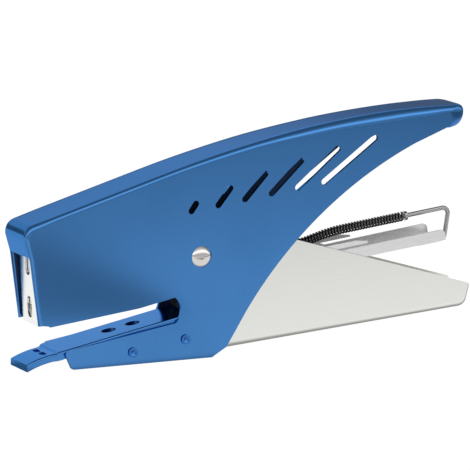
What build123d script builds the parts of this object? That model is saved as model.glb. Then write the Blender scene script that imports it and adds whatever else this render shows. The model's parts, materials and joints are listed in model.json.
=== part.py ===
"""Hand-grip plier stapler: a painted shell, a squeezed lever and a swinging magazine on one rivet.

Millimetres. +X runs from the head to the rear of the handles, +Z is up and the jaw stands on Z = 0.
Side outlines are drawn as (distance behind the pivot, height above the jaw's underside).
"""

import os
from math import acos, atan2, cos, degrees, hypot, pi, radians, sin, tan

from build123d import *

os.makedirs("parts", exist_ok=True)

# Overall layout
pivot_x = -18.055
pivot_z = 32.8
body_width = 18.4
body_sheet = 1.0

# Running gaps between the nested channels, thin working clearances, and what counts as touching
lever_gap = 0.3
magazine_gap = 0.3
running_fit = 0.05
slide_gap = 0.2
blade_gap = 0.15
touching = 0.01

# Body shell
head_bottom_front = (-56.25, 14.7)
front_bend = (-59.4, 36.2)
front_lean = 12.5
front_wall_bottom = 36.7
roof_start = (-14.0, 59.65)
roof_angle = 16.3
roof_end = (88.0, 75.7)
nose_radius = 4.2
tip_length = 7.1
tip_drop = 2.7
tip_radius = 2.0
tip_under = (92.4, 71.0)
tip_plan_radius = 5.0
shoulder_radius = 1.8
rear_line = ((8.6, 3.0), (15.5, 14.0))
handle_arc = ((42.15, 43.65), (76.0, 64.5))
cheek_front = ((-45.0, 0.0), (-47.6, 5.9))
throat_end = ((-9.1, 12.1), (-7.4, 17.0), (-9.3, 20.4))
throat_flare = (-21.6, 17.9)
head_notch = ((-52.3, 14.2), (-53.0, 14.6))
cheek_rear = 3.5
cheek_round = 1.2
front_bend_radius = 12.0
clear_past = 12.0
gill_count = 6
gill_width = 2.1
gill_first = (-4.2, 47.0)
gill_step = (9.3, 1.28)
gill_first_length = 4.8
gill_growth = 3.9
gill_first_angle = 54.5
gill_turn = 3.7

# Anvil bar
anvil_sheet = 1.0
anvil_fold = 0.7
anvil_tip = (-59.3, 2.3)
anvil_pad = (-54.5, 4.1)
anvil_step = (-49.4, 5.15)
anvil_step_rise = 0.6
anvil_rear = (-3.6, 14.75)
anvil_tip_depth = 2.3
anvil_tip_width = 13.8
anvil_neck_front = -50.6
anvil_neck_slope = 2.0
anvil_foot = 1.2
anvil_hole_diameter = 4.8
anvil_holes = (-28.5, -20.3)
clinch_share = 0.72
clinch_length = 4.2
clinch_width = 1.7
clinch_depth = 0.5
clinch_spacing = 4.9
anvil_rivet_places = ((-24.0, 3.9), (-5.7, 6.6))
anvil_rivet_radius = 1.0
anvil_rivet_head_radius = 1.6
anvil_rivet_head = 0.55
anvil_rivet_dish = 1.0

# Pivot
rivet_radius = 1.75
rivet_head_radius = 3.45
rivet_head = 1.7
sleeve_wall = 0.65

# Lever
lever_sheet = 0.9
lever_rear_top = (97.3, 16.4)
lever_rear_bottom = (95.4, 9.2)
lever_front_bottom = (1.0, 1.6)
lever_shoulder = (9.6, 43.0)
lever_arm_root = (-12.0, 29.0)
lever_throat = (-2.2, 13.5)
lever_pin = (-52.8, 41.5)
lever_tip_radius = 3.0
lever_bend = 2.0
lever_rear_round = 3.4
lever_top_round = 1.2
lever_shoulder_round = 8.0
lever_rear_lip = 1.6
lever_web_front = 4.0
pin_radius = 1.0
pin_slack = 0.3

# Magazine, drawn along its own floor
magazine_tilt = 6.8
magazine_sheet = 0.6
floor_drop = 11.84
wall_height = 6.6
rear_wall_height = 3.6
wall_front = -49.5
wall_step = 59.5
magazine_rear = 87.5
floor_tongue = 5.1
ear_radius = 5.0
slit_length = 11.0
slit_height = 0.8
magazine_round = 1.6
tongue_drop = 0.6
tongue_run = 4.5
tongue_fall = 1.0

# Nose plate, drawn along its own lean
nose_foot = (-55.2, 14.2)
nose_lean = 3.0
nose_rim = 2.6
nose_hole_width = 3.6
nose_hole_length = 6.9
nose_hole_heights = (5.4, 19.0)
nose_flange = 7.2

# Driver
driver_sheet = 0.8
driver_stroke = 5.8
driver_rest_gap = 0.2
driver_ear = 7.0
driver_ear_height = 8.0

# Pusher, rod and springs
rod_radius = 0.75
rod_front_height = -7.2
rod_rear_height = -2.8
rod_dip_start = 22.0
rod_dip_end = 50.0
rod_dip_radius = 60.0
rod_bend_top = 93.0
rod_bend_low = 90.2
rod_hook_gap = 0.3
rod_hook_length = 8.0
rod_bend_radius = 1.8
seat_place = 76.4
seat_radius = 1.5
seat_width = 1.0
stop_radius = 1.3
stop_width = 1.2
pusher_sheet = 0.6
pusher_length = 11.0
pusher_height = 6.2
staple_wire = 0.6
spring_wire = 0.65
spring_gap = 0.2
spring_pitch = 1.06
points_per_turn = 8
return_wire = 1.0
return_coils = 4
return_pitch = 1.1
return_gap = 0.1
return_reach = 20.0
return_foot = 12.5
leaf_side_gap = 0.6
leaf_thickness = 0.5
leaf_arm_start = 9.0
leaf_arm_length = 10.0

# Half widths of the nested channels
inner_half = body_width / 2 - body_sheet
lever_half = inner_half - lever_gap
lever_inner = lever_half - lever_sheet
magazine_half = lever_inner - magazine_gap
magazine_inner = magazine_half - magazine_sheet
sleeve_radius = rivet_radius + sleeve_wall
turning_radius = sleeve_radius + running_fit

# Drawing planes: the body's side view, the magazine's side view and the nose's side view
side = Plane(origin=(pivot_x, 0, 0), x_dir=(1, 0, 0), z_dir=(0, -1, 0))
magazine_side = Plane(
    origin=(pivot_x, 0, pivot_z),
    x_dir=(cos(radians(magazine_tilt)), 0, sin(radians(magazine_tilt))),
    z_dir=(0, -1, 0),
)
nose_side = Plane(
    origin=(pivot_x + nose_foot[0], 0, nose_foot[1]),
    x_dir=(cos(radians(nose_lean)), 0, sin(radians(nose_lean))),
    z_dir=(0, -1, 0),
)


def meet(first, first_angle, second, second_angle):
    """Point where two lines cross, each given by a point and its angle in degrees."""
    ax, ay = cos(radians(first_angle)), sin(radians(first_angle))
    bx, by = cos(radians(second_angle)), sin(radians(second_angle))
    along = ((second[0] - first[0]) * by - (second[1] - first[1]) * bx) / (ax * by - ay * bx)
    return (first[0] + along * ax, first[1] + along * ay)


def shifted(point, angle, distance):
    """The point moved by a distance along an angle in degrees."""
    return (point[0] + distance * cos(radians(angle)), point[1] + distance * sin(radians(angle)))


def in_magazine(point):
    """A side-view point as (along, above) in the magazine's own drawing."""
    across, up = point[0], point[1] - pivot_z
    turn = radians(magazine_tilt)
    return (across * cos(turn) + up * sin(turn), up * cos(turn) - across * sin(turn))


def on_side(along, above):
    """A magazine point as (distance behind the pivot, height)."""
    turn = radians(magazine_tilt)
    return (along * cos(turn) - above * sin(turn), pivot_z + along * sin(turn) + above * cos(turn))


# The roof band, from the front wall over the nose and the handle to the tip
def band_corner(inset):
    wall_point = shifted(front_bend, -front_lean, inset)
    roof_point = shifted(roof_start, roof_angle - 90, inset)
    return meet(wall_point, 90 + front_lean, roof_point, roof_angle)


def band_roof(inset):
    start = shifted(roof_start, roof_angle - 90, inset)
    end = (roof_end[0], roof_end[1] - inset)
    return start, end


tip_top = (roof_end[0] + tip_length, roof_end[1])
tip_low = (tip_top[0], tip_top[1] - tip_drop)


def corner(sketch, point):
    """The sketch's vertex nearest to a point."""
    return sketch.vertices().sort_by_distance((point[0], point[1], 0))[0]


def roof_curve(inset):
    start, end = band_roof(inset)
    rise = (cos(radians(roof_angle)), sin(radians(roof_angle)))
    Spline(start, end, tangents=(rise, (1, 0)))


def above_open_side(point):
    """True on the band's side of the line from the head's bottom corner to the handle's tip."""
    along = (point.X - pivot_x - head_bottom_front[0]) / (tip_low[0] - head_bottom_front[0])
    return point.Z > head_bottom_front[1] + along * (tip_low[1] - head_bottom_front[1])


def plan_with_round_tip(sketch, inset):
    """Draws the shell seen from above, with the two corners at the handle's tip rounded."""
    end = pivot_x + tip_top[0] - inset
    half = body_width / 2 - inset
    with Locations((end, 0)):
        Rectangle(2 * tip_top[0], 2 * half, align=(Align.MAX, Align.CENTER))
    fillet(sketch.vertices().group_by(Axis.X)[-1], tip_plan_radius - inset)


# Hollow of the shell, open below the band
with BuildPart() as shell_hollow:
    inner_corner = band_corner(body_sheet)
    inner_tip = (tip_top[0] - body_sheet, tip_top[1] - body_sheet)
    wall_foot = meet(inner_corner, 90 + front_lean, (0, -clear_past), 0)
    with BuildSketch(side) as hollow_face:
        with BuildLine():
            Polyline(wall_foot, inner_corner, band_roof(body_sheet)[0])
            roof_curve(body_sheet)
            Polyline(
                band_roof(body_sheet)[1], inner_tip, (inner_tip[0], -clear_past), wall_foot
            )
        make_face()
        fillet(corner(hollow_face, inner_corner), nose_radius - body_sheet)
        fillet(corner(hollow_face, inner_tip), tip_radius - body_sheet)
    extrude(amount=inner_half, both=True)
    hollow_edges = shell_hollow.edges().filter_by(
        lambda edge: abs(abs(edge.center().Y) - inner_half) < touching
    )
    fillet(
        hollow_edges.filter_by(lambda edge: edge.center().Z > 0), shoulder_radius - body_sheet
    )
    with BuildSketch() as hollow_plan:
        plan_with_round_tip(hollow_plan, body_sheet)
    extrude(amount=2 * tip_top[1], both=True, mode=Mode.INTERSECT)

# Body shell: one pressing with head, handle and jaw cheeks
with BuildPart() as body_shell:
    with BuildSketch(side) as shell_face:
        with BuildLine():
            Polyline(head_bottom_front, front_bend, band_corner(0), roof_start)
            roof_curve(0)
            Polyline(roof_end, tip_top, tip_low, tip_under, handle_arc[1])
            ThreePointArc(handle_arc[1], handle_arc[0], rear_line[1])
            Polyline(rear_line[1], rear_line[0], (cheek_rear, 0), *cheek_front, throat_end[0])
            ThreePointArc(*throat_end)
            Polyline(throat_end[2], throat_flare, *head_notch, head_bottom_front)
        make_face()
        fillet(corner(shell_face, front_bend), front_bend_radius)
        fillet(corner(shell_face, band_corner(0)), nose_radius)
        fillet(corner(shell_face, tip_top), tip_radius)
        fillet(corner(shell_face, rear_line[0]), cheek_round)
        fillet([corner(shell_face, point) for point in cheek_front], cheek_round)
    extrude(amount=body_width / 2, both=True)
    outer_edges = body_shell.edges().filter_by(
        lambda edge: abs(abs(edge.center().Y) - body_width / 2) < touching
    )
    fillet(
        outer_edges.filter_by(lambda edge: above_open_side(edge.center())), shoulder_radius
    )
    with BuildSketch() as tip_plan:
        plan_with_round_tip(tip_plan, 0)
    extrude(amount=2 * tip_top[1], both=True, mode=Mode.INTERSECT)
    add(shell_hollow.part, mode=Mode.SUBTRACT)
    with BuildSketch(side):
        with Locations((head_bottom_front[0], front_wall_bottom)):
            Rectangle(2 * clear_past, 4 * clear_past, align=(Align.CENTER, Align.MAX))
    extrude(amount=inner_half, both=True, mode=Mode.SUBTRACT)
    with BuildSketch(side):
        for number in range(gill_count):
            length = gill_first_length + number * gill_growth
            angle = gill_first_angle - number * gill_turn
            low_end = (
                gill_first[0] + number * gill_step[0],
                gill_first[1] + number * gill_step[1],
            )
            with Locations(shifted(low_end, angle, length / 2)):
                SlotOverall(length, gill_width, rotation=angle)
        with Locations((0, pivot_z)):
            Circle(rivet_radius)
        with Locations(*anvil_rivet_places):
            Circle(anvil_rivet_radius)
    extrude(amount=body_width, both=True, mode=Mode.SUBTRACT)
body_shell.part.label = "body_shell"
export_step(body_shell.part, "parts/body_shell.step")


# Anvil bar: folded channel between the cheeks, with a narrower tip that curves down
strip_start = (anvil_step[0] + anvil_step_rise, anvil_step[1] + anvil_step_rise)
strip_angle = degrees(atan2(anvil_rear[1] - strip_start[1], anvil_rear[0] - strip_start[0]))
pad_rise = (anvil_step[1] - anvil_tip[1]) / (anvil_step[0] - anvil_tip[0])
pad_curve = ThreePointArc(anvil_tip, anvil_pad, anvil_step)
anvil_half = inner_half


def strip_top(along):
    """Height of the anvil's strip at a distance behind the pivot."""
    return strip_start[1] + (along - strip_start[0]) * tan(radians(strip_angle))


def lowered(point, depth):
    """The point moved down."""
    return (point[0], point[1] - depth)


def on_fold(point):
    """True along the anvil's upper side edges."""
    along = point.X - pivot_x
    if along < strip_start[0]:
        top = anvil_tip[1] + (along - anvil_tip[0]) * pad_rise - anvil_tip_depth / 4
    else:
        top = strip_top(along) - anvil_sheet / 2
    return point.Z > top and abs(point.Y) > anvil_tip_width / 2 - touching


def plan_with_neck(inset):
    """Draws the anvil seen from above, with its narrower tip."""
    wide = anvil_half - inset
    narrow = anvil_tip_width / 2 - inset
    front = pivot_x + anvil_tip[0] - clear_past
    rear = pivot_x + clear_past
    neck_front = pivot_x + anvil_neck_front
    neck_rear = neck_front + (wide - narrow) * anvil_neck_slope
    Polygon(
        (front, -narrow),
        (neck_front, -narrow),
        (neck_rear, -wide),
        (rear, -wide),
        (rear, wide),
        (neck_rear, wide),
        (neck_front, narrow),
        (front, narrow),
        align=None,
    )


# Room under the anvil's sheet
with BuildPart() as anvil_hollow:
    room_front = (anvil_tip[0] + anvil_sheet, anvil_tip[1] - anvil_sheet)
    room_step = lowered(anvil_step, anvil_sheet)
    room_rear = anvil_rear[0] + clear_past
    with BuildSketch(side):
        with BuildLine():
            ThreePointArc(room_front, lowered(anvil_pad, anvil_sheet), room_step)
            Polyline(
                room_step,
                lowered(strip_start, anvil_sheet),
                (room_rear, strip_top(room_rear) - anvil_sheet),
                (room_rear, -clear_past),
                (room_front[0], -clear_past),
                room_front,
            )
        make_face()
    extrude(amount=anvil_half, both=True)
    with BuildSketch():
        plan_with_neck(anvil_sheet)
    extrude(amount=2 * clear_past, both=True, mode=Mode.INTERSECT)

with BuildPart() as anvil_bar:
    cheek_edge = cheek_front[1][0]
    tip_under_step = lowered(anvil_step, anvil_tip_depth)
    tip_under_front = lowered(anvil_tip, anvil_tip_depth)
    with BuildSketch(side):
        with BuildLine():
            ThreePointArc(anvil_tip, anvil_pad, anvil_step)
            Polyline(
                anvil_step,
                strip_start,
                anvil_rear,
                (anvil_rear[0], anvil_foot),
                (cheek_front[0][0] + cheek_round, anvil_foot),
                (cheek_edge + cheek_round, strip_top(cheek_edge) - anvil_tip_depth),
                tip_under_step,
            )
            ThreePointArc(tip_under_step, lowered(anvil_pad, anvil_tip_depth), tip_under_front)
            Line(tip_under_front, anvil_tip)
        make_face()
    extrude(amount=anvil_half, both=True)
    with BuildSketch():
        plan_with_neck(0)
    extrude(amount=2 * clear_past, both=True, mode=Mode.INTERSECT)
    fillet(anvil_bar.edges().filter_by(lambda edge: on_fold(edge.center())), anvil_fold)
    add(anvil_hollow.part, mode=Mode.SUBTRACT)
    hole_plane = Plane(
        origin=(pivot_x + strip_start[0], 0, strip_start[1]),
        x_dir=(cos(radians(strip_angle)), 0, sin(radians(strip_angle))),
        z_dir=(-sin(radians(strip_angle)), 0, cos(radians(strip_angle))),
    )
    with BuildSketch(hole_plane):
        for place in anvil_holes:
            with Locations(((place - strip_start[0]) / cos(radians(strip_angle)), 0)):
                Circle(anvil_hole_diameter / 2)
    extrude(amount=2 * anvil_sheet, both=True, mode=Mode.SUBTRACT)
    clinch_place = pad_curve @ clinch_share
    clinch_slope = pad_curve % clinch_share
    pad_plane = Plane(
        origin=(pivot_x + clinch_place.X, 0, clinch_place.Y),
        x_dir=(clinch_slope.X, 0, clinch_slope.Y),
        z_dir=(-clinch_slope.Y, 0, clinch_slope.X),
    )
    with BuildSketch(pad_plane):
        with GridLocations(0, clinch_spacing, 1, 2):
            SlotOverall(clinch_length, clinch_width, rotation=90)
    extrude(amount=-clinch_depth, mode=Mode.SUBTRACT)
    with BuildSketch(side):
        with Locations(*anvil_rivet_places):
            Circle(anvil_rivet_radius)
    extrude(amount=body_width, both=True, mode=Mode.SUBTRACT)
anvil_bar.part.label = "anvil_bar"
export_step(anvil_bar.part, "parts/anvil_bar.step")


# Two rivets that hold the anvil bar between the cheeks, each end dished by the riveting tool
outer_face = body_width / 2
for name, place in zip(("anvil_rivet_front", "anvil_rivet_rear"), anvil_rivet_places):
    with BuildPart() as anvil_rivet:
        axis_plane = Plane(
            origin=(pivot_x + place[0], 0, place[1]), x_dir=(1, 0, 0), z_dir=(0, 0, 1)
        )
        with BuildSketch(axis_plane):
            with BuildLine():
                Polyline(
                    (0, 0),
                    (anvil_rivet_radius, 0),
                    (anvil_rivet_radius, outer_face),
                    (anvil_rivet_head_radius, outer_face),
                    (anvil_rivet_head_radius, outer_face + anvil_rivet_head),
                    (anvil_rivet_dish, outer_face + anvil_rivet_head),
                    (0, outer_face),
                    close=True,
                )
            make_face()
        revolve(axis=Axis(axis_plane.origin, (0, 1, 0)))
        mirror(about=Plane.XZ)
    anvil_rivet.part.label = name
    export_step(anvil_rivet.part, f"parts/{name}.step")

# Pivot rivet with a dome on each side
with BuildPart() as pivot_rivet:
    pivot_plane = Plane(origin=(pivot_x, 0, pivot_z), x_dir=(1, 0, 0), z_dir=(0, 0, 1))
    dome_top = (0, outer_face + rivet_head)
    dome_radius = (rivet_head_radius**2 + rivet_head**2) / (2 * rivet_head)
    with BuildSketch(pivot_plane):
        with BuildLine():
            Polyline(
                dome_top,
                (0, 0),
                (rivet_radius, 0),
                (rivet_radius, outer_face),
                (rivet_head_radius, outer_face),
            )
            RadiusArc((rivet_head_radius, outer_face), dome_top, -dome_radius)
        make_face()
    revolve(axis=Axis(pivot_plane.origin, (0, 1, 0)))
    mirror(about=Plane.XZ)
pivot_rivet.part.label = "pivot_rivet"
export_step(pivot_rivet.part, "parts/pivot_rivet.step")

# Spacer sleeve on the rivet, between the shell's walls
with BuildPart() as pivot_sleeve:
    with BuildSketch(side):
        with Locations((0, pivot_z)):
            Circle(sleeve_radius)
            Circle(rivet_radius, mode=Mode.SUBTRACT)
    extrude(amount=inner_half, both=True)
pivot_sleeve.part.label = "pivot_sleeve"
export_step(pivot_sleeve.part, "parts/pivot_sleeve.step")

# Lever: plated U-channel with two arms that run forward inside the head
web_rise = (lever_rear_bottom[1] - lever_front_bottom[1]) / (
    lever_rear_bottom[0] - lever_front_bottom[0]
)


def web_bottom(along):
    """Height of the lever's underside at a distance behind the pivot."""
    return lever_front_bottom[1] + (along - lever_front_bottom[0]) * web_rise


with BuildPart() as lever:
    with BuildSketch(side) as lever_face:
        with BuildLine():
            Polyline(
                lever_front_bottom,
                lever_rear_bottom,
                lever_rear_top,
                lever_shoulder,
                (lever_pin[0], lever_pin[1] + lever_tip_radius),
            )
            ThreePointArc(
                (lever_pin[0], lever_pin[1] + lever_tip_radius),
                (lever_pin[0] - lever_tip_radius, lever_pin[1]),
                (lever_pin[0], lever_pin[1] - lever_tip_radius),
            )
            Polyline(
                (lever_pin[0], lever_pin[1] - lever_tip_radius),
                lever_arm_root,
                lever_throat,
                lever_front_bottom,
            )
        make_face()
        fillet(corner(lever_face, lever_rear_bottom), lever_rear_round)
        chamfer(corner(lever_face, lever_rear_top), lever_top_round)
        fillet(corner(lever_face, lever_shoulder), lever_shoulder_round)
        fillet(corner(lever_face, lever_arm_root), lever_shoulder_round)
    extrude(amount=lever_half, both=True)
    outer_edges = lever.edges().filter_by(
        lambda edge: abs(abs(edge.center().Y) - lever_half) < touching
    )
    fillet(
        outer_edges.filter_by(
            lambda edge: edge.center().Z < web_bottom(edge.center().X - pivot_x) + lever_rear_round
            and edge.center().X > pivot_x + lever_web_front
        ),
        lever_bend,
    )
    with BuildSketch(side) as lever_room:
        inner_rear = lever_rear_bottom[0] - lever_sheet
        with BuildLine():
            Polyline(
                (lever_web_front, -clear_past),
                (lever_web_front, web_bottom(lever_web_front) + lever_sheet),
                (inner_rear, web_bottom(inner_rear) + lever_sheet),
                (lever_rear_top[0] - lever_sheet, lever_rear_top[1] - lever_rear_lip),
                (lever_rear_top[0] + clear_past, lever_rear_top[1] - lever_rear_lip),
                (lever_rear_top[0] + clear_past, pivot_z + 2 * clear_past),
                (lever_pin[0] - clear_past, pivot_z + 2 * clear_past),
                (lever_pin[0] - clear_past, -clear_past),
                close=True,
            )
        make_face()
        fillet(
            corner(lever_room, (inner_rear, web_bottom(inner_rear) + lever_sheet)),
            lever_rear_round - lever_sheet,
        )
    extrude(amount=lever_inner, both=True, mode=Mode.SUBTRACT)
    with BuildSketch(side):
        with Locations((0, pivot_z)):
            Circle(turning_radius)
        with Locations(lever_pin):
            Circle(pin_radius)
    extrude(amount=body_width, both=True, mode=Mode.SUBTRACT)
lever.part.label = "lever"
export_step(lever.part, "parts/lever.step")

# Cross pin at the front of the lever's arms, which carries the driver
with BuildPart() as driver_pin:
    with BuildSketch(side):
        with Locations(lever_pin):
            Circle(pin_radius)
    extrude(amount=lever_half, both=True)
driver_pin.part.label = "driver_pin"
export_step(driver_pin.part, "parts/driver_pin.step")

# Return spring's wire, wound about Z: a foot leg, the coil and a leg for the lever
with BuildPart() as return_coil:
    coil_x, coil_z = anvil_rivet_places[1]
    coil_radius = anvil_rivet_radius + return_gap + return_wire / 2
    web_touch = web_bottom(return_reach) + lever_sheet + return_gap + return_wire / 2
    lever_angle = degrees(atan2(web_touch - coil_z + coil_radius, return_reach - coil_x))
    foot_x = coil_x - return_foot
    foot_z = strip_top(foot_x) - anvil_sheet / cos(radians(strip_angle)) - return_gap - return_wire
    foot_angle = degrees(atan2(foot_z - coil_z + coil_radius, foot_x - coil_x))
    turns = return_coils + (lever_angle - foot_angle + 180) / 360
    foot_run = hypot(foot_x - coil_x, foot_z - coil_z + coil_radius)
    lever_run = hypot(return_reach - coil_x, web_touch - coil_z + coil_radius)
    with BuildLine() as return_path:
        coil = Helix(pitch=return_pitch, height=return_pitch * turns, radius=coil_radius)
        foot_leg = Line(coil @ 0 - (coil % 0) * foot_run, coil @ 0)
        Line(coil @ 1, coil @ 1 + (coil % 1) * lever_run)
    with BuildSketch(Plane(origin=foot_leg @ 0, z_dir=foot_leg % 0)):
        Circle(return_wire / 2)
    sweep(path=return_path.line)

# Return spring on the rear anvil rivet, one leg on the lever's web and one under the anvil
coil_drift = (lever_run - foot_run) * return_pitch / hypot(return_pitch, 2 * pi * coil_radius)
coil_plane = Plane(
    origin=(pivot_x + coil_x, (return_pitch * turns + coil_drift) / 2, coil_z),
    x_dir=(cos(radians(foot_angle + 90)), 0, sin(radians(foot_angle + 90))),
    z_dir=(0, -1, 0),
)
return_seated = return_coil.part.moved(coil_plane.location)
with BuildPart() as return_spring:
    add(return_seated)
return_spring.part.label = "return_spring"
export_step(return_spring.part, "parts/return_spring.step")

# Magazine channel: floor and two walls, with ears that turn on the sleeve
floor_top = -floor_drop + magazine_sheet
wall_top = -floor_drop + wall_height
rear_wall_top = -floor_drop + rear_wall_height
with BuildPart() as magazine_channel:
    with BuildSketch(magazine_side) as wall_face:
        with BuildLine():
            Polyline(
                (wall_front, -floor_drop),
                (magazine_rear, -floor_drop),
                (magazine_rear, rear_wall_top),
                (wall_step - slit_length, rear_wall_top),
                (wall_step - slit_length, rear_wall_top + slit_height),
                (wall_step, rear_wall_top + slit_height),
                (wall_step, wall_top - tongue_drop - tongue_fall),
                (wall_step - tongue_run, wall_top - tongue_drop),
                (2 * ear_radius, wall_top),
                (ear_radius, 0),
                (-ear_radius, 0),
                (-2 * ear_radius, wall_top),
                (wall_front, wall_top),
                close=True,
            )
        make_face()
        fillet(corner(wall_face, (magazine_rear, rear_wall_top)), magazine_round)
        Circle(ear_radius)
        Circle(turning_radius, mode=Mode.SUBTRACT)
    extrude(amount=magazine_half, both=True)
    with BuildSketch(magazine_side):
        with Locations((0, floor_top)):
            Rectangle(
                4 * magazine_rear, 2 * clear_past, align=(Align.CENTER, Align.MIN)
            )
    extrude(amount=magazine_inner, both=True, mode=Mode.SUBTRACT)
    with BuildSketch(magazine_side):
        with Locations((wall_front, -floor_drop)):
            Rectangle(floor_tongue, magazine_sheet, align=(Align.MAX, Align.MIN))
    extrude(amount=magazine_inner - running_fit, both=True)
magazine_channel.part.label = "magazine_channel"
export_step(magazine_channel.part, "parts/magazine_channel.step")


def in_nose(point):
    """A side-view point as (behind the nose's face, above its foot) along the nose's lean."""
    across, up = point[0] - nose_foot[0], point[1] - nose_foot[1]
    turn = radians(nose_lean)
    return (across * cos(turn) + up * sin(turn), up * cos(turn) - across * sin(turn))


# Path of the pin in the nose's drawing, from rest to the end of the driver's stroke
pin_rest = in_nose(lever_pin)
nose_pivot = in_nose((0, pivot_z))
pin_arm = hypot(pin_rest[0] - nose_pivot[0], pin_rest[1] - nose_pivot[1])
pin_end_height = pin_rest[1] - nose_pivot[1] - driver_stroke
pin_end = (nose_pivot[0] - (pin_arm**2 - pin_end_height**2) ** 0.5, pin_rest[1] - driver_stroke)
pin_drift = pin_rest[0] - pin_end[0]
pin_middle = (pin_rest[0] + pin_end[0]) / 2
pin_slot_width = 2 * (pin_radius + pin_slack) + pin_drift
nose_height = pin_rest[1] + pin_radius + pin_slack + nose_rim

# Nose plate: front wall with two long holes and a flange on each side, welded to the channel
with BuildPart() as nose_plate:
    seat_low = in_nose(on_side(wall_front, -floor_drop))
    seat_high = in_nose(on_side(wall_front, wall_top))
    with BuildSketch(nose_side) as nose_face:
        with BuildLine():
            Polyline(
                (0, 0),
                seat_low,
                seat_high,
                (nose_flange, seat_high[1]),
                (nose_flange, nose_height),
                (0, nose_height),
                close=True,
            )
        make_face()
    extrude(amount=magazine_half, both=True)
    front_edges = nose_plate.edges().filter_by(
        lambda edge: abs(abs(edge.center().Y) - magazine_half) < touching
        and abs(in_nose((edge.center().X - pivot_x, edge.center().Z))[0]) < touching
    )
    fillet(front_edges, magazine_sheet)
    with BuildSketch(nose_side):
        with Locations((magazine_sheet, -clear_past)):
            Rectangle(
                2 * nose_flange,
                nose_height + 2 * clear_past,
                align=(Align.MIN, Align.MIN),
            )
    extrude(amount=magazine_inner, both=True, mode=Mode.SUBTRACT)
    with BuildSketch(nose_side):
        with Locations((pin_middle, pin_rest[1] - driver_stroke / 2)):
            Rectangle(pin_slot_width, driver_stroke + 2 * (pin_radius + pin_slack))
    extrude(amount=body_width, both=True, mode=Mode.SUBTRACT)
    nose_front = Plane(origin=nose_side.origin, x_dir=(0, 1, 0), z_dir=nose_side.x_dir)
    with BuildSketch(nose_front):
        for height in nose_hole_heights:
            with Locations((0, height)):
                SlotOverall(nose_hole_length, nose_hole_width, rotation=90)
    extrude(amount=2 * magazine_sheet, both=True, mode=Mode.SUBTRACT)
nose_plate.part.label = "nose_plate"
export_step(nose_plate.part, "parts/nose_plate.step")

# Driver: blade behind the nose's front wall, with two slotted ears on the lever's pin
with BuildPart() as driver:
    blade_front = magazine_sheet + blade_gap
    blade_half = magazine_inner - slide_gap
    blade_bottom = driver_rest_gap + driver_stroke
    blade_top = pin_rest[1] + driver_ear_height / 2
    with BuildSketch(nose_side):
        with Locations((blade_front, blade_bottom)):
            Rectangle(driver_sheet, blade_top - blade_bottom, align=(Align.MIN, Align.MIN))
    extrude(amount=blade_half, both=True)
    with BuildSketch(nose_side):
        with Locations((blade_front, pin_rest[1])):
            Rectangle(driver_ear, driver_ear_height, align=(Align.MIN, Align.CENTER))
    extrude(amount=blade_half, both=True)
    with BuildSketch(nose_side):
        with Locations((blade_front + driver_sheet, pin_rest[1])):
            Rectangle(2 * driver_ear, 2 * driver_ear_height, align=(Align.MIN, Align.CENTER))
    extrude(amount=blade_half - driver_sheet, both=True, mode=Mode.SUBTRACT)
    with BuildSketch(nose_side):
        with Locations((pin_middle, pin_rest[1])):
            SlotOverall(pin_slot_width, 2 * (pin_radius + pin_slack))
    extrude(amount=body_width, both=True, mode=Mode.SUBTRACT)
driver.part.label = "driver"
export_step(driver.part, "parts/driver.step")

# Driver spring: leaf bent round the sleeve, lower arm on the magazine's walls, upper arm under the pin
with BuildPart() as driver_spring:
    leaf_half = blade_half - driver_sheet - leaf_side_gap
    loop_radius = turning_radius + slide_gap + leaf_thickness / 2
    arm_height = wall_top + leaf_thickness / 2
    pin_along, pin_above = in_magazine(lever_pin)
    lift_end = (pin_along - pin_radius, pin_above - pin_radius - running_fit - leaf_thickness / 2)
    lift_angle = degrees(atan2(lift_end[1], -lift_end[0]))
    lift_reach = hypot(*lift_end)
    top_angle = 180 - lift_angle - degrees(acos(loop_radius / lift_reach))
    loop_top = shifted((0, 0), top_angle, loop_radius)
    loop_rear = shifted((0, 0), top_angle / 2 - 45, loop_radius)
    loop_low = shifted((0, 0), -90, loop_radius)
    with BuildSketch(magazine_side):
        with BuildLine():
            Line(lift_end, loop_top)
            ThreePointArc(loop_top, loop_rear, loop_low)
            Polyline(
                loop_low,
                (-leaf_arm_start, arm_height),
                (-leaf_arm_start - leaf_arm_length, arm_height),
            )
        trace(line_width=leaf_thickness)
    extrude(amount=leaf_half, both=True)
    with BuildSketch(magazine_side):
        with Locations((-leaf_arm_start - leaf_arm_length / 2, wall_top)):
            Rectangle(leaf_arm_length / 2, leaf_thickness, align=(Align.CENTER, Align.MIN))
    extrude(amount=magazine_half, both=True)
driver_spring.part.label = "driver_spring"
export_step(driver_spring.part, "parts/driver_spring.step")


def across_rod(along, above):
    """Plane square to the magazine, facing its rear."""
    place = on_side(along, above)
    return Plane(
        origin=(pivot_x + place[0], 0, place[1]),
        x_dir=(0, -1, 0),
        z_dir=magazine_side.x_dir,
    )


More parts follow.
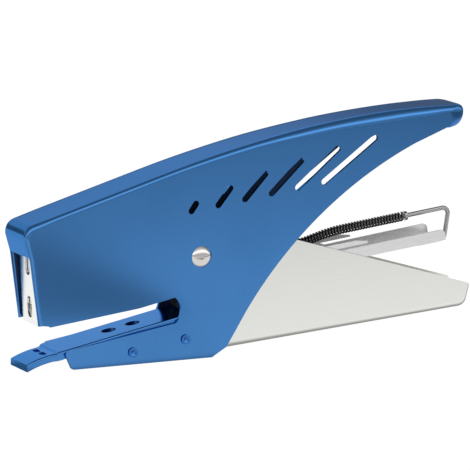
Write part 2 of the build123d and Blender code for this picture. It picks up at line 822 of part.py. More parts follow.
# Pusher: strip folded into a U, open at its sides, that slides on the rod
pusher_foot = floor_top + slide_gap
pusher_head = pusher_foot + pusher_height
blade_back = blade_front + driver_sheet
blade_turn = radians(magazine_tilt - nose_lean)
nose_along, nose_above = in_magazine(nose_foot)
pusher_front = (
    nose_along
    + blade_back / cos(blade_turn)
    + (pusher_head - nose_above) * tan(blade_turn)
    + staple_wire
)
pusher_rear = pusher_front + pusher_length
with BuildPart() as pusher:
    with BuildSketch(magazine_side):
        with Locations((pusher_front, pusher_foot)):
            Rectangle(pusher_length, pusher_height, align=(Align.MIN, Align.MIN))
        with Locations((pusher_front + pusher_sheet, pusher_foot + pusher_sheet)):
            Rectangle(
                pusher_length - 2 * pusher_sheet,
                pusher_height,
                align=(Align.MIN, Align.MIN),
                mode=Mode.SUBTRACT,
            )
    extrude(amount=magazine_inner - slide_gap, both=True)
    with BuildSketch(across_rod(pusher_front - pusher_sheet, rod_front_height)):
        Circle(stop_radius + slide_gap)
    extrude(amount=3 * pusher_sheet, mode=Mode.SUBTRACT)
    with BuildSketch(across_rod(pusher_rear + pusher_sheet, rod_front_height)):
        Circle(rod_radius + blade_gap)
    extrude(amount=-3 * pusher_sheet, mode=Mode.SUBTRACT)
pusher.part.label = "pusher"
export_step(pusher.part, "parts/pusher.step")

# Rod: bent wire that dips under the sleeve, with a hook under the magazine's rear end
stop_rear = pusher_rear - pusher_sheet - slide_gap
rod_front = stop_rear - stop_width
hook_height = -floor_drop - rod_hook_gap - rod_radius
with BuildPart() as pusher_rod:
    with BuildLine(magazine_side) as rod_path:
        FilletPolyline(
            (rod_front, rod_front_height),
            (rod_dip_start, rod_front_height),
            (rod_dip_end, rod_rear_height),
            (rod_bend_top, rod_rear_height),
            (rod_bend_low, hook_height),
            (rod_bend_low - rod_hook_length - rod_bend_radius, hook_height),
            radius=[rod_dip_radius, rod_dip_radius, rod_bend_radius, rod_bend_radius],
        )
    with BuildSketch(across_rod(rod_front, rod_front_height)):
        Circle(rod_radius)
    sweep(path=rod_path.line)
    with BuildSketch(across_rod(seat_place, rod_rear_height)):
        Circle(seat_radius)
    extrude(amount=seat_width)
pusher_rod.part.label = "pusher_rod"
export_step(pusher_rod.part, "parts/pusher_rod.step")

# Collar on the rod's front end
with BuildPart() as rod_stop:
    with BuildSketch(across_rod(rod_front, rod_front_height)):
        Circle(stop_radius)
        Circle(rod_radius, mode=Mode.SUBTRACT)
    extrude(amount=stop_width)
rod_stop.part.label = "rod_stop"
export_step(rod_stop.part, "parts/rod_stop.step")

# Pusher spring: its turns follow the rod from the pusher to the seat
spring_radius = rod_radius + spring_gap + spring_wire / 2
spring_start = pusher_rear + spring_wire
spring_end = seat_place - spring_wire
spring_turns = round((spring_end - spring_start) / spring_pitch)
with BuildPart() as pusher_spring:
    with BuildLine(magazine_side) as spring_axis:
        FilletPolyline(
            (spring_start, rod_front_height),
            (rod_dip_start, rod_front_height),
            (rod_dip_end, rod_rear_height),
            (spring_end, rod_rear_height),
            radius=rod_dip_radius,
        )
    axis_wire = spring_axis.wires()[0]
    coil_points = []
    for step in range(spring_turns * points_per_turn + 1):
        share = step / (spring_turns * points_per_turn)
        turn = 2 * pi * step / points_per_turn
        upward = Vector(0, 1, 0).cross(axis_wire % share) * -1
        sideways = Vector(0, 1, 0)
        coil_points.append(
            axis_wire @ share + upward * spring_radius * cos(turn) + sideways * spring_radius * sin(turn)
        )
    with BuildLine() as coil_path:
        Spline(*coil_points)
    with BuildSketch(Plane(origin=coil_path.line @ 0, z_dir=coil_path.line % 0)):
        Circle(spring_wire / 2)
    sweep(path=coil_path.line)
pusher_spring.part.label = "pusher_spring"
export_step(pusher_spring.part, "parts/pusher_spring.step")
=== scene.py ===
"""Looks of a hand plier stapler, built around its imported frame. Sizes are in mm, turned to metres by mm."""

import json
from math import atan2, cos, hypot, pi, radians, sin, tan

import bmesh
import bpy
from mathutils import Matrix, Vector
from mathutils.geometry import tessellate_polygon


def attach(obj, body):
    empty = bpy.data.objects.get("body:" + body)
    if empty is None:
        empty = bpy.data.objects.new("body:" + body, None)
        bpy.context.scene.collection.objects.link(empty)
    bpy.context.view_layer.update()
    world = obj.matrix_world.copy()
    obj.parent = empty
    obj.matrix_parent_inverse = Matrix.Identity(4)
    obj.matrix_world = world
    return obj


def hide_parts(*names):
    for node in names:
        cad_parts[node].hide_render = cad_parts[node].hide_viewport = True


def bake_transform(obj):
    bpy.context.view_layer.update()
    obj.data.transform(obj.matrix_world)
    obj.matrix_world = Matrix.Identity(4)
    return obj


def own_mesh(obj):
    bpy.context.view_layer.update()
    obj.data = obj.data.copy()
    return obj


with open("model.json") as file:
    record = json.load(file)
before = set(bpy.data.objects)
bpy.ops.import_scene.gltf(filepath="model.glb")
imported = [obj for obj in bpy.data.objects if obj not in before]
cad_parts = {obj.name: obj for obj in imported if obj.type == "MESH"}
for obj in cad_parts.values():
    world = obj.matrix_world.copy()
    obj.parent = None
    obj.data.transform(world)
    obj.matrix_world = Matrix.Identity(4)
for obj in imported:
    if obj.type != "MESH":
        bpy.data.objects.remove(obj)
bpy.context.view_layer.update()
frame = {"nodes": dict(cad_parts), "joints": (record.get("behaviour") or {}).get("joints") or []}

# Body shell: one pressing of 1 mm steel sheet whose two sides hang from a roof band that runs from the
# nose to the handle's tip. The shoulder is drawn tight over the head and opens out along the handle,
# the gills are pierced through both sides, and the whole is sprayed with blue metallic enamel.
mm = 0.001
joints = {joint["name"]: joint for joint in frame["joints"]}
pivot = Vector(joints["lever_squeeze"]["pos_m"])
body_half = 9.2
body_sheet = 1.0
head_foot = (-56.0, 14.7)
front_bend = (-58.7, 36.2)
front_lean = 16.6
front_wall_foot = 36.7
roof_start = (-14.0, 59.65)
roof_angle = 16.3
roof_end = (88.0, 75.7)
tip_top = (95.1, 75.7)
tip_low = (95.1, 69.6)
tip_fade = 80.0
handle_end = (76.0, 64.5)
handle_middle = (42.15, 43.65)
rear_top = (15.5, 14.0)
rear_foot = (8.6, 3.0)
cheek_rear = (3.5, 0.0)
cheek_front = (-45.0, 0.0)
cheek_top = (-47.6, 5.9)
throat_low = (-9.1, 12.1)
throat_back = (-7.4, 17.0)
throat_high = (-9.3, 20.4)
throat_flare = (-21.6, 17.9)
head_notch = ((-52.3, 14.2), (-53.0, 14.6))
front_bend_radius = 12.0
nose_radius = 4.2
tip_radius = 2.2
tip_under_radius = 4.6
tip_plan_radius = 5.0
cheek_round = 1.2
front_bend_steps = 6
nose_steps = 14
roof_curve_steps = 60
tip_steps = 10
tip_under_steps = 8
handle_steps = 48
cheek_steps = 6
throat_steps = 16
band_gap = 1.6
shoulder_steps = 10
roof_steps = 8
# Radius of the shoulder by the distance along the band
shoulder_sizes = (
    (0.0, 1.2),
    (20.0, 1.3),
    (31.0, 1.9),
    (44.0, 1.4),
    (80.0, 1.4),
    (110.0, 1.8),
    (136.0, 2.7),
    (160.0, 3.2),
    (172.0, 2.9),
    (186.0, 2.1),
    (190.0, 2.0),
    (197.0, 0.1),
)


def at(across, height, sideways=0.0):
    """Point in the frame from a side-view place in mm, measured behind the pivot and above the base."""
    return Vector((pivot.x + across * mm, sideways * mm, height * mm))


def rounding(before, corner, after, radius, steps):
    """Points of the arc that rounds a corner between its two neighbours."""
    start = Vector((before[0] - corner[0], before[1] - corner[1])).normalized()
    end = Vector((after[0] - corner[0], after[1] - corner[1])).normalized()
    half = start.angle(end) / 2
    centre = Vector(corner) + (start + end).normalized() * radius / sin(half)
    first = Vector(corner) + start * radius / tan(half) - centre
    turn = first.angle_signed(Vector(corner) + end * radius / tan(half) - centre)
    arc = []
    for step in range(steps + 1):
        angle = -turn * step / steps
        arc.append(
            (
                centre.x + first.x * cos(angle) - first.y * sin(angle),
                centre.y + first.x * sin(angle) + first.y * cos(angle),
            )
        )
    return arc


def through(first, middle, last, steps):
    """Points of the arc through three points, without its first one."""
    ax, ay = middle[0] - first[0], middle[1] - first[1]
    bx, by = last[0] - first[0], last[1] - first[1]
    scale = 2 * (ax * by - ay * bx)
    cx = (by * (ax * ax + ay * ay) - ay * (bx * bx + by * by)) / scale
    cy = (ax * (bx * bx + by * by) - bx * (ax * ax + ay * ay)) / scale
    radius = hypot(cx, cy)
    start = atan2(-cy, -cx)
    middle_turn = (atan2(ay - cy, ax - cx) - start + pi) % (2 * pi) - pi
    turn = atan2(by - cy, bx - cx) - start
    turn = turn % (2 * pi) if middle_turn > 0 else -((-turn) % (2 * pi))
    centre = (first[0] + cx, first[1] + cy)
    return [
        (
            centre[0] + radius * cos(start + turn * step / steps),
            centre[1] + radius * sin(start + turn * step / steps),
        )
        for step in range(1, steps + 1)
    ]


def crossing(first, first_angle, second, second_angle):
    """Point where two lines cross, each given by a point and an angle in degrees."""
    ax, ay = cos(radians(first_angle)), sin(radians(first_angle))
    bx, by = cos(radians(second_angle)), sin(radians(second_angle))
    along = ((second[0] - first[0]) * by - (second[1] - first[1]) * bx) / (ax * by - ay * bx)
    return (first[0] + along * ax, first[1] + along * ay)


def spread(points, gap):
    """The same line with points added, so that they lie about gap apart at most."""
    line = [points[0]]
    for start, end in zip(points, points[1:]):
        count = max(1, round(hypot(end[0] - start[0], end[1] - start[1]) / gap))
        for step in range(1, count + 1):
            share = step / count
            line.append((start[0] + (end[0] - start[0]) * share, start[1] + (end[1] - start[1]) * share))
    return line


def roof_line(steps):
    """The handle's curved top, tangent to the straight slope at one end and level at the other."""
    chord = hypot(roof_end[0] - roof_start[0], roof_end[1] - roof_start[1])
    rise = (cos(radians(roof_angle)) * chord, sin(radians(roof_angle)) * chord)
    line = []
    for step in range(1, steps + 1):
        t = step / steps
        near, far = 2 * t**3 - 3 * t**2 + 1, 3 * t**2 - 2 * t**3
        leave, arrive = t**3 - 2 * t**2 + t, t**3 - t**2
        line.append(
            (
                near * roof_start[0] + far * roof_end[0] + leave * rise[0] + arrive * chord,
                near * roof_start[1] + far * roof_end[1] + leave * rise[1],
            )
        )
    return line


def shoulder_at(run):
    """Shoulder radius in mm at a distance along the band from the head's foot."""
    for (start, low), (end, high) in zip(shoulder_sizes, shoulder_sizes[1:]):
        if run <= end:
            share = max(0.0, (run - start) / (end - start))
            share = share * share * (3 - 2 * share)
            return low + (high - low) * share
    return shoulder_sizes[-1][1]


nose_corner = crossing(front_bend, 90 + front_lean, roof_start, roof_angle)
band = [head_foot]
band += rounding(head_foot, front_bend, nose_corner, front_bend_radius, front_bend_steps)
band += rounding(front_bend, nose_corner, roof_start, nose_radius, nose_steps)
band.append(roof_start)
band += roof_line(roof_curve_steps)
band += rounding(roof_end, tip_top, tip_low, tip_radius, tip_steps)
band += rounding(tip_top, tip_low, handle_end, tip_under_radius, tip_under_steps)
band = spread(band, band_gap)
plate_rest = [handle_end]
plate_rest += through(handle_end, handle_middle, rear_top, handle_steps)
plate_rest += rounding(rear_top, rear_foot, cheek_rear, cheek_round, cheek_steps)
plate_rest.append(cheek_rear)
plate_rest += rounding(cheek_rear, cheek_front, cheek_top, cheek_round, cheek_steps)
plate_rest += rounding(cheek_front, cheek_top, throat_low, cheek_round, cheek_steps)
plate_rest.append(throat_low)
plate_rest += through(throat_low, throat_back, throat_high, throat_steps)
plate_rest.append(throat_flare)
plate_rest += head_notch

# Gills: six slots pierced through each side, each longer and flatter than the one before it. The far side's
# last slot and handle edge lie a little off the near ones, as the light through the last two slots shows.
gill_count = 6
gill_end_steps = 8
gill_width = 2.1
gill_first = (-4.2, 47.0)
gill_step = (9.3, 1.28)
gill_first_length = 4.8
gill_growth = 3.9
gill_first_angle = 54.5
gill_turn = 3.7
far_gill = (40.6, 49.0)
far_rise = 3.4
far_rise_span = (45.0, 92.0)


def tip_back(across, sideways):
    """How far the handle's end is drawn back towards its sides, so that it is round from above."""
    reach = max(0.0, abs(sideways) - body_half + tip_plan_radius)
    share = min(1.0, max(0.0, (across - tip_fade) / (tip_top[0] - tip_fade)))
    depth = tip_plan_radius - max(0.0, tip_plan_radius**2 - reach**2) ** 0.5
    return depth * share * share * (3 - 2 * share)


def far_lift(across):
    """How much higher the far side's handle edge is cut."""
    share = (across - far_rise_span[0]) / (far_rise_span[1] - far_rise_span[0])
    return far_rise * sin(pi * share) if 0.0 < share < 1.0 else 0.0


def gill(number, far):
    """Outline of one pierced slot, a straight slit with round ends."""
    angle = radians(gill_first_angle - gill_turn * number)
    length = gill_first_length + gill_growth * number - gill_width
    low = (gill_first[0] + gill_step[0] * number, gill_first[1] + gill_step[1] * number)
    if far and number == gill_count - 1:
        low = far_gill
    outline = []
    for end, start_angle in ((gill_width / 2, pi / 2), (gill_width / 2 + length, -pi / 2)):
        for step in range(gill_end_steps + 1):
            turn = angle + start_angle + pi * step / gill_end_steps
            outline.append(
                (
                    low[0] + end * cos(angle) + gill_width / 2 * cos(turn),
                    low[1] + end * sin(angle) + gill_width / 2 * sin(turn),
                )
            )
    return outline


def add_mesh(name, build):
    """A new object whose mesh is filled by build(bmesh)."""
    mesh = bpy.data.meshes.new(name)
    work = bmesh.new()
    build(work)
    bmesh.ops.recalc_face_normals(work, faces=work.faces)
    work.to_mesh(mesh)
    work.free()
    piece = bpy.data.objects.new(name, mesh)
    bpy.context.scene.collection.objects.link(piece)
    return piece


def skin(across, height, sideways):
    """Point of the shell's skin, with the handle's end rounded."""
    return at(across - tip_back(across, sideways), height, sideways)


def shell_faces(work):
    """The band's grid and the two pierced plates, sharing the plates' upper edges."""
    run = 0.0
    rows = []
    count = len(band)
    for place, point in enumerate(band):
        before, after = band[max(place - 1, 0)], band[min(place + 1, count - 1)]
        run += hypot(point[0] - before[0], point[1] - before[1])
        inward = Vector((after[1] - before[1], before[0] - after[0])).normalized()
        radius = shoulder_at(run)
        section = []
        for step in range(shoulder_steps + 1):
            turn = pi / 2 * step / shoulder_steps
            section.append((body_half - radius + radius * cos(turn), radius - radius * sin(turn)))
        for step in range(1, roof_steps):
            section.append(((body_half - radius) * (1 - 2 * step / roof_steps), 0.0))
        section += [(-out, inset) for out, inset in reversed(section[: shoulder_steps + 1])]
        rows.append(
            [
                work.verts.new(skin(point[0] + inward.x * inset, point[1] + inward.y * inset, -out))
                for out, inset in section
            ]
        )
    for place, (row, after) in enumerate(zip(rows, rows[1:])):
        open_front = band[place + 1][1] < front_wall_foot and place < count / 2
        for column in range(len(row) - 1):
            on_roof = shoulder_steps <= column < len(row) - 1 - shoulder_steps
            if not (open_front and on_roof):
                face = work.faces.new((row[column], row[column + 1], after[column + 1], after[column]))
                face.smooth = True
    for column, sideways in ((0, -body_half), (-1, body_half)):
        far = sideways > 0
        outer = [row[column] for row in rows]
        for across, height in plate_rest:
            lift = far_lift(across) if far and height > rear_top[1] else 0.0
            outer.append(work.verts.new(skin(across, height + lift, sideways)))
        loops = [outer]
        for number in range(gill_count):
            loops.append([work.verts.new(skin(*point, sideways)) for point in gill(number, far)])
        corners = [vertex for loop in loops for vertex in loop]
        for triangle in tessellate_polygon([[vertex.co for vertex in loop] for loop in loops]):
            work.faces.new([corners[index] for index in triangle])


def add_node(tree, kind, links=(), **settings):
    """One shader node with its settings, and links as (own input, other node, other output)."""
    node = tree.nodes.new(kind)
    for key, value in settings.items():
        if key in node.inputs:
            node.inputs[key].default_value = value
        else:
            setattr(node, key, value)
    for own, other, output in links:
        tree.links.new(other.outputs[output], node.inputs[own])
    return node


def colour(code):
    """Linear colour from an sRGB hex code."""
    parts = [int(code[i : i + 2], 16) / 255 for i in (1, 3, 5)]
    return [p / 12.92 if p <= 0.04045 else ((p + 0.055) / 1.055) ** 2.4 for p in parts] + [1.0]


def new_material(name):
    """An empty node material and its tree, shader and object coordinates."""
    material = bpy.data.materials.new(name)
    material.use_nodes = True
    tree = material.node_tree
    shader = tree.nodes["Principled BSDF"]
    place = add_node(tree, "ShaderNodeTexCoord")
    return material, tree, shader, place


# Blue metallic enamel: aluminium flake under a stoved clear lacquer. The flake gives blue, soft reflections
# and the spray a faint orange peel that breaks up highlights. Flake and peel are drawn coarser than they
# are, so that they show at all.
flake_size = 0.35
cloud_size = 26.0
tone_start = 0.6
peel_size = 1.6
peel_depth = 0.05
peel_strength = 0.03
enamel, tree, shader, place = new_material("blue_metallic_enamel")
flakes = add_node(
    tree, "ShaderNodeTexNoise", [("Vector", place, "Object")], Scale=1 / (flake_size * mm), Detail=2.0
)
clouds = add_node(
    tree, "ShaderNodeTexNoise", [("Vector", place, "Object")], Scale=1 / (cloud_size * mm), Detail=1.0
)
mixed = add_node(tree, "ShaderNodeMath", [(0, flakes, "Fac"), (1, clouds, "Fac")], operation="ADD")
tone = add_node(tree, "ShaderNodeValToRGB", [("Fac", mixed, "Value")])
tone.color_ramp.elements[0].position = tone_start
tone.color_ramp.elements[0].color = colour("#4178B3")
tone.color_ramp.elements[1].color = colour("#467EBB")
tree.links.new(tone.outputs["Color"], shader.inputs["Base Color"])
peel = add_node(
    tree, "ShaderNodeTexNoise", [("Vector", place, "Object")], Scale=1 / (peel_size * mm), Detail=1.0
)
dents = add_node(
    tree, "ShaderNodeBump", [("Height", peel, "Fac")], Strength=peel_strength, Distance=peel_depth * mm
)
tree.links.new(dents.outputs["Normal"], shader.inputs["Normal"])
lacquer_glance = "#BAD4F8"
shader.inputs["Metallic"].default_value = 1.0
shader.inputs["Roughness"].default_value = 0.17
shader.inputs["Specular Tint"].default_value = colour(lacquer_glance)


def mottle(tree, shader, place, size, dark, light, stretch=(1.0, 1.0, 1.0), detail=2.0):
    """Base colour that wanders between two close tones in a grain of a size in mm; returns the grain."""
    drawn = add_node(tree, "ShaderNodeMapping", [("Vector", place, "Object")], Scale=stretch)
    grain = add_node(
        tree, "ShaderNodeTexNoise", [("Vector", drawn, "Vector")], Scale=1 / (size * mm), Detail=detail
    )
    tone = add_node(tree, "ShaderNodeValToRGB", [("Fac", grain, "Fac")])
    tone.color_ramp.elements[0].color = colour(dark)
    tone.color_ramp.elements[1].color = colour(light)
    tree.links.new(tone.outputs["Color"], shader.inputs["Base Color"])
    return grain


# Inside of the shell: painted shade, a dull, mottled, nearly navy colour darker than the outside enamel,
# for the shade inside the shell where it shows through the gills and at the nose.
inside_mottle_size = 1.2
painted_shade_inside, tree, shader, place = new_material("painted_shade_inside_blue")
mottle(tree, shader, place, inside_mottle_size, "#1B3252", "#264676", detail=3.0)
shader.inputs["Metallic"].default_value = 0.5
shader.inputs["Roughness"].default_value = 0.45

# The shell's skin is drawn on its outside. It gets its sheet thickness inwards, where the painted shade of
# the inside shows, and a small round along each cut edge, as sheared and painted sheet has.
edge_round = 0.15
edge_sharpness = 40.0
shell = add_mesh("shell_skin", shell_faces)
thick = shell.modifiers.new("sheet", "SOLIDIFY")
thick.thickness = body_sheet * mm
thick.offset = -1.0
# The inner side takes the second material, the painted shade of the inside.
thick.material_offset = 1
bevel = shell.modifiers.new("edge_round", "BEVEL")
bevel.width = edge_round * mm
bevel.segments = 2
bevel.limit_method = "ANGLE"
bevel.angle_limit = radians(edge_sharpness)
shell.data.materials.append(enamel)
shell.data.materials.append(painted_shade_inside)
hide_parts("body_shell")
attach(shell, "body")


def dress(node, material):
    """Gives a CAD node its finish."""
    mesh = frame["nodes"][node].data
    mesh.materials.clear()
    mesh.materials.append(material)


# Anvil bar: a channel folded from steel sheet that closes the lower jaw between the cheeks. It is enamelled
# together with the shell, and its tip turns the staples' legs over.
dress("anvil_bar", enamel)

# Anvil rivets: two short tubular rivets, closed over the cheeks. Their paint is drawn darker than the
# sprayed sheet around them, as painted shade on the small domes, and glossier.
rivet_mottle_size = 0.5
shaded_rivet_enamel, tree, shader, place = new_material("glossy_blue_rivet_enamel_painted_shade")
# Painted shade: darker tones than the sheet's enamel.
mottle(tree, shader, place, rivet_mottle_size, "#2F62A0", "#3E74B4")
shader.inputs["Metallic"].default_value = 1.0
shader.inputs["Roughness"].default_value = 0.06
shader.inputs["Specular Tint"].default_value = colour(lacquer_glance)
for node in ("anvil_rivet_front", "anvil_rivet_rear"):
    dress(node, shaded_rivet_enamel)


def uneven_polish(tree, shader, grain, smooth, rough):
    """Roughness that wanders between two values with a grain."""
    polish = add_node(
        tree, "ShaderNodeMapRange", [("Value", grain, "Fac")], **{"To Min": smooth, "To Max": rough}
    )
    tree.links.new(polish.outputs["Result"], shader.inputs["Roughness"])


# Pivot rivet and its sleeve: a nickel-plated round-head rivet through both sides, on a turned steel tube
# that keeps the sides apart. The polished dome mirrors the studio, slightly hazed by handling.
haze_size = 0.6
rivet_nickel, tree, shader, place = new_material("polished_nickel")
haze = add_node(
    tree, "ShaderNodeTexNoise", [("Vector", place, "Object")], Scale=1 / (haze_size * mm), Detail=3.0
)
uneven_polish(tree, shader, haze, 0.04, 0.1)
shader.inputs["Base Color"].default_value = colour("#D2CECB")
shader.inputs["Metallic"].default_value = 1.0
dress("pivot_rivet", rivet_nickel)
dress("pivot_sleeve", rivet_nickel)

# Lever: a U-channel pressed from steel sheet and nickel plated, which is the lower handle, with the hard
# pin at its front end that drives the blade. The sheet's rolled grain runs along it under the satin plate.
rolled_grain = 0.5
nickel, tree, shader, place = new_material("satin_nickel_plate")
grain = mottle(tree, shader, place, rolled_grain, "#DFE0DB", "#E8E9E4", stretch=(0.04, 1.0, 1.0))
uneven_polish(tree, shader, grain, 0.24, 0.34)
shader.inputs["Metallic"].default_value = 1.0
dress("lever", nickel)
dress("driver_pin", rivet_nickel)

# Magazine, pusher and driver: folded and blanked from steel strip, with a bright zinc plate that dulls a
# little in use. The strip's grain runs along them.
strip_grain = 0.4
zinc, tree, shader, place = new_material("bright_zinc_plate")
mottle(tree, shader, place, strip_grain, "#D4D4D4", "#E6E6E6", stretch=(0.1, 1.0, 1.0))
shader.inputs["Metallic"].default_value = 1.0
shader.inputs["Roughness"].default_value = 0.25
for node in ("magazine_channel", "pusher", "driver"):
    dress(node, zinc)

# Nose plate: the same strip, folded round the magazine's front with the blade sliding behind it, and tin
# plated. Its colour is drawn lighter than the magazine's zinc, a painted reflection of the white studio, so
# it is the lightest piece.
tin, tree, shader, place = new_material("tin_plate_painted_light")
# Painted reflection: tones lighter than the zinc's.
mottle(tree, shader, place, strip_grain, "#F0F1EE", "#F8F9F6", stretch=(1.0, 1.0, 0.1))
shader.inputs["Metallic"].default_value = 1.0
shader.inputs["Roughness"].default_value = 0.22
dress("nose_plate", tin)

# Rod and its stop: bright drawn wire, bent to a grip and a hook at its rear end, with a collar pressed on its
# front end. Drawing leaves it shiny but slightly streaked.
streak_size = 0.7
wire, tree, shader, place = new_material("bright_drawn_wire")
streaks = add_node(
    tree, "ShaderNodeTexNoise", [("Vector", place, "Object")], Scale=1 / (streak_size * mm), Detail=2.0
)
uneven_polish(tree, shader, streaks, 0.16, 0.28)
shader.inputs["Base Color"].default_value = colour("#A8A8A8")
shader.inputs["Metallic"].default_value = 1.0
dress("pusher_rod", wire)
dress("rod_stop", wire)

# Springs: wound from oil-tempered wire and cut from tempered strip, dark from the furnace. The pusher's coil
# closes up towards its seat on the rod, and the return spring's long leg follows the lever; these two are
# copies of the CAD springs, the pusher's hung on the rod.
scale_size = 0.5
tempered, tree, shader, place = new_material("tempered_spring_steel")
scale_marks = add_node(
    tree, "ShaderNodeTexNoise", [("Vector", place, "Object")], Scale=1 / (scale_size * mm), Detail=2.0
)
uneven_polish(tree, shader, scale_marks, 0.2, 0.36)
shader.inputs["Base Color"].default_value = colour("#5A5A5C")
shader.inputs["Metallic"].default_value = 1.0
for node in ("pusher_spring", "return_spring", "driver_spring"):
    dress(node, tempered)


def flexing(node):
    """A copy of a spring, in its place, with the CAD spring hidden."""
    stiff = frame["nodes"][node]
    mesh = stiff.data.copy()
    mesh.transform(stiff.matrix_world)
    coils = bpy.data.objects.new(node + "_wire", mesh)
    bpy.context.scene.collection.objects.link(coils)
    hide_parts(node)
    return coils


coils = flexing("pusher_spring")
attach(coils, "rod")
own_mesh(coils)
leg = flexing("return_spring")
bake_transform(leg)

# Studio floor: white paper that glows by itself, so that it is white to the camera and in metal. The glow
# falls off with distance in front and to the far right, and drops in a strip under the object, a painted
# shadow of the object that the metal reflects.
brightest = 2.0
floor_half = 3000.0
floor_drop = 0.2
glow_and_shadow_stops = (
    (-1000.0, 0.6),
    (-390.0, 0.62),
    (-300.0, 0.8),
    (-225.0, 0.84),
    (-165.0, 1.05),
    (-16.0, 1.08),
    # Painted shadow: the glow drops to a dark strip under the object.
    (-8.0, 0.35),
    (8.0, 0.35),
    (16.0, 1.0),
    (1000.0, 1.0),
)
right_fade = (260.0, 400.0)
right_share = 0.3
paper_white = 1.06
glow_share = 0.92


def set_stops(ramp, stops):
    """Grey levels along a ramp from pairs of place and level, as shares of the brightest."""
    first, last = stops[0][0], stops[-1][0]
    for step in range(len(stops) - len(ramp.elements)):
        ramp.elements.new(0.5)
    for element, (where, level) in zip(ramp.elements, stops):
        element.position = (where - first) / (last - first)
        element.color = [level / brightest] * 3 + [1.0]


paper, tree, shader, place = new_material("white_studio_paper")
shader.inputs["Base Color"].default_value = (1.0, 1.0, 1.0, 1.0)
shader.inputs["Roughness"].default_value = 0.9
rays = add_node(tree, "ShaderNodeLightPath")
spot = add_node(tree, "ShaderNodeSeparateXYZ", [("Vector", place, "Object")])
reach = add_node(
    tree,
    "ShaderNodeMapRange",
    [("Value", spot, "Y")],
    **{"From Min": glow_and_shadow_stops[0][0] * mm, "From Max": glow_and_shadow_stops[-1][0] * mm},
)
fall = add_node(tree, "ShaderNodeValToRGB", [("Fac", reach, "Result")])
set_stops(fall.color_ramp, glow_and_shadow_stops)
right = add_node(
    tree,
    "ShaderNodeMapRange",
    [("Value", spot, "X")],
    **{
        "From Min": right_fade[0] * mm,
        "From Max": right_fade[1] * mm,
        "To Min": brightest,
        "To Max": right_share * brightest,
    },
)
paper_glow = add_node(
    tree, "ShaderNodeEmission", [("Color", fall, "Color"), ("Strength", right, "Result")]
)
white_glow = add_node(tree, "ShaderNodeEmission", Color=(1.0, 1.0, 1.0, 1.0), Strength=paper_white)
glow = add_node(
    tree,
    "ShaderNodeMixShader",
    [(0, rays, "Is Camera Ray"), (1, paper_glow, "Emission"), (2, white_glow, "Emission")],
)
seen = add_node(
    tree, "ShaderNodeMath", [(0, rays, "Is Camera Ray"), (1, rays, "Is Glossy Ray")], operation="MAXIMUM"
)
share = add_node(tree, "ShaderNodeMath", [(0, seen, "Value")], operation="MULTIPLY")
share.inputs[1].default_value = glow_share
blend = add_node(
    tree, "ShaderNodeMixShader", [(0, share, "Value"), (1, shader, "BSDF"), (2, glow, "Shader")]
)
tree.links.new(blend.outputs["Shader"], tree.nodes["Material Output"].inputs["Surface"])


def card(name, corners, material):
    """A flat card of the studio, from its corners in mm."""

    def one_face(work):
        work.faces.new([work.verts.new(Vector(corner) * mm) for corner in corners])

    piece = add_mesh(name, one_face)
    piece.data.materials.append(material)
    return piece


floor_signs = ((-1, -1), (1, -1), (1, 1), (-1, 1))
floor_corners = [(x * floor_half, y * floor_half, -floor_drop) for x, y in floor_signs]
card("studio_floor", floor_corners, paper)


def only_reflected(piece):
    """Keeps a card out of sight, so that it shows in metal and paint alone."""
    piece.visible_camera = False
    piece.visible_shadow = False
    piece.visible_diffuse = False


# Grey flag: a card that lies on the paper in front of the head and darkens its lower part in the enamel, most
# along the card's right edge.
flag_left, flag_right = -110.0, 8.0
flag_front, flag_rear = -262.0, -76.0
flag_bulge = 5.0
flag_edge_steps = 12
flag_height = 1.0
flag_fade_start = -45.0
flag_levels = (0.62, 0.34)
flag_grey, tree, shader, place = new_material("grey_flag_card")
spot = add_node(tree, "ShaderNodeSeparateXYZ", [("Vector", place, "Object")])
flag_level = add_node(
    tree,
    "ShaderNodeMapRange",
    [("Value", spot, "X")],
    **{
        "From Min": flag_fade_start * mm,
        "From Max": flag_right * mm,
        "To Min": flag_levels[0],
        "To Max": flag_levels[1],
    },
)
flag_glow = add_node(
    tree, "ShaderNodeEmission", [("Strength", flag_level, "Result")], Color=(1.0, 1.0, 1.0, 1.0)
)
tree.links.new(flag_glow.outputs["Emission"], tree.nodes["Material Output"].inputs["Surface"])
flag_rim = [(flag_left, flag_rear, flag_height), (flag_left, flag_front, flag_height)]
for step in range(flag_edge_steps + 1):
    along = step / flag_edge_steps
    flag_x = flag_right + flag_bulge * sin(pi * along)
    flag_rim.append((flag_x, flag_front + (flag_rear - flag_front) * along, flag_height))
only_reflected(card("studio_flag", flag_rim, flag_grey))

# Bounce card: a low white card that stands behind the object and shows at a glancing angle in the anvil, the
# front wall and the nose.
bounce_y = 60.0
bounce_top = 45.0
bounce_left, bounce_right = -200.0, 260.0
bounce_white, tree, shader, place = new_material("white_bounce_card")
bounce_glow = add_node(tree, "ShaderNodeEmission", Color=(1.0, 1.0, 1.0, 1.0), Strength=1.0)
tree.links.new(bounce_glow.outputs["Emission"], tree.nodes["Material Output"].inputs["Surface"])
bounce_corners = [
    (bounce_left, bounce_y, 0.0),
    (bounce_right, bounce_y, 0.0),
    (bounce_right, bounce_y, bounce_top),
    (bounce_left, bounce_y, bounce_top),
]
only_reflected(card("studio_bounce_card", bounce_corners, bounce_white))

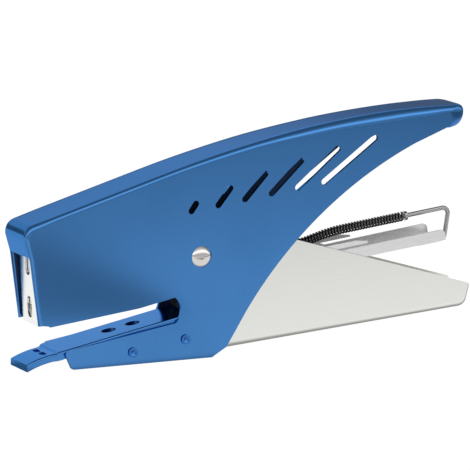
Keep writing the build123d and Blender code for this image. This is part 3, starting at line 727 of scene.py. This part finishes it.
# Room: a plain white room with a bright strip high in front, a dim ceiling and a pale back wall. Its levels
# go by the angle in degrees from the front horizon over the top to the back horizon.
room_stops = (
    (0.0, 0.8),
    (10.0, 0.65),
    (24.0, 0.6),
    (42.0, 1.7),
    (50.0, 1.7),
    (68.0, 0.7),
    (88.0, 0.34),
    (125.0, 0.28),
    (144.0, 0.42),
    (155.0, 0.83),
    (160.5, 0.88),
    (163.0, 0.45),
    (165.5, 0.22),
    (168.5, 0.2),
    (180.0, 0.35),
)
world = bpy.data.worlds.new("white_room")
bpy.context.scene.world = world
world.use_nodes = True
tree = world.node_tree
room = tree.nodes["Background"]
room.inputs["Strength"].default_value = brightest
look = add_node(tree, "ShaderNodeTexCoord")
parts = add_node(tree, "ShaderNodeSeparateXYZ", [("Vector", look, "Generated")])
front = add_node(tree, "ShaderNodeMath", [(0, parts, "Y")], operation="MULTIPLY")
front.inputs[1].default_value = -1.0
over = add_node(tree, "ShaderNodeMath", [(0, parts, "Z"), (1, front, "Value")], operation="ARCTAN2")
angle = add_node(tree, "ShaderNodeMapRange", [("Value", over, "Value")], **{"From Max": pi})
bands = add_node(tree, "ShaderNodeValToRGB", [("Fac", angle, "Result")])
set_stops(bands.color_ramp, room_stops)
tree.links.new(bands.outputs["Color"], room.inputs["Color"])

# Camera: a long lens from the front left and a little above, looking down at the object. The lens is given by
# its focal length in pixels of the square picture.
view_azimuth = 24.8
view_elevation = 10.0
view_distance = 1602.6
view_target = Vector((-2.2405, 0.0, 37.247)) * mm
image_pixels = 470
focal_pixels = 5000
sensor_width = 36.0
camera_data = bpy.data.cameras.new("product_camera")
camera_data.sensor_width = sensor_width
camera_data.lens = focal_pixels * sensor_width / image_pixels
camera_data.clip_end = 20.0
camera = bpy.data.objects.new("product_camera", camera_data)
turn, lift = radians(view_azimuth), radians(view_elevation)
back = Vector((-sin(turn) * cos(lift), -cos(turn) * cos(lift), sin(lift)))
camera.location = view_target + back * view_distance * mm
camera.rotation_euler = (-back).to_track_quat("-Z", "Y").to_euler()
bpy.context.scene.collection.objects.link(camera)
bpy.context.scene.camera = camera
bpy.context.scene.view_settings.view_transform = "Standard"
